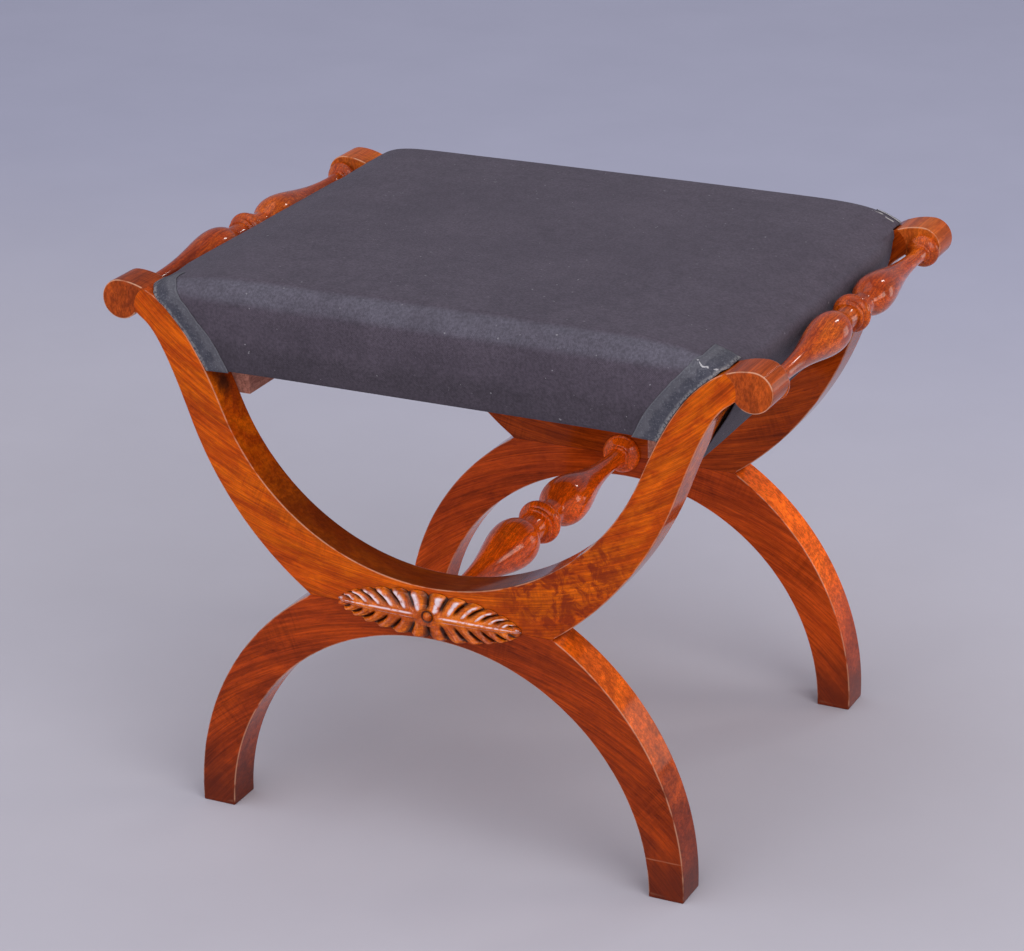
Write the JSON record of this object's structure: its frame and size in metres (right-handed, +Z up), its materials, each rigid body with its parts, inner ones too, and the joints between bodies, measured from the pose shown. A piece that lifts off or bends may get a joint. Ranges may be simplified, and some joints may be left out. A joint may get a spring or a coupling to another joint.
{
  "type": "stool",
  "caption": "Upholstered curule stool: X-shaped end frames with scrolled arms and carved rosettes, turned hand rails and stretcher, and a dark cloth seat.",
  "frame": {"origin": "centre of the stool on the floor, midway between the four feet", "axes": "+X along the end frames towards the right-hand rail as seen from the front, +Y from the front frame to the rear frame, +Z up"},
  "size_m": [0.5826, 0.4284, 0.4695],
  "materials": {
    "mahogany": "french-polished mahogany, orange to red brown, arrises worn pale",
    "mahogany_scroll": "french-polished mahogany, end grain showing on the round faces",
    "mahogany_carving": "french-polished carved mahogany, darker in the cuts",
    "mahogany_turned": "french-polished turned mahogany, glossy",
    "dowel_wood": "bare",
    "seat_frame_wood": "bare, rough sawn and aged",
    "webbing": "herringbone jute webbing",
    "base_cloth": "hessian",
    "stuffing": "wadding over fibre, hidden under the cover",
    "cover_cloth": "matte plain-woven charcoal cloth",
    "edge_tape": "matte blue-grey woven tape with a frayed edge"
  },
  "bodies": {
    "root": {"front_seat_arc": "mahogany", "front_leg_arch": "mahogany", "front_left_scroll": "mahogany_scroll", "front_right_scroll": "mahogany_scroll", "front_leaf_rosette": "mahogany_carving", "rear_seat_arc": "mahogany", "rear_leg_arch": "mahogany", "rear_left_scroll": "mahogany_scroll", "rear_right_scroll": "mahogany_scroll", "rear_leaf_rosette": "mahogany_carving", "left_hand_rail": "mahogany_turned", "right_hand_rail": "mahogany_turned", "centre_stretcher": "mahogany_turned", "front_left_joint_dowel": "dowel_wood", "front_right_joint_dowel": "dowel_wood", "rear_left_joint_dowel": "dowel_wood", "rear_right_joint_dowel": "dowel_wood", "front_left_scroll_dowel": "dowel_wood", "front_right_scroll_dowel": "dowel_wood", "rear_left_scroll_dowel": "dowel_wood", "rear_right_scroll_dowel": "dowel_wood", "front_seat_rail": "seat_frame_wood", "rear_seat_rail": "seat_frame_wood", "left_seat_rail": "seat_frame_wood", "right_seat_rail": "seat_frame_wood", "front_left_corner_block": "seat_frame_wood", "front_right_corner_block": "seat_frame_wood", "rear_left_corner_block": "seat_frame_wood", "rear_right_corner_block": "seat_frame_wood", "long_web_1": "webbing", "long_web_2": "webbing", "long_web_3": "webbing", "long_web_4": "webbing", "cross_web_1": "webbing", "cross_web_2": "webbing", "cross_web_3": "webbing", "base_cloth": "base_cloth", "seat_pad": "stuffing", "seat_cover": "cover_cloth", "front_left_edge_tape": "edge_tape", "front_right_edge_tape": "edge_tape", "rear_left_edge_tape": "edge_tape", "rear_right_edge_tape": "edge_tape"}
  },
  "joints": []
}
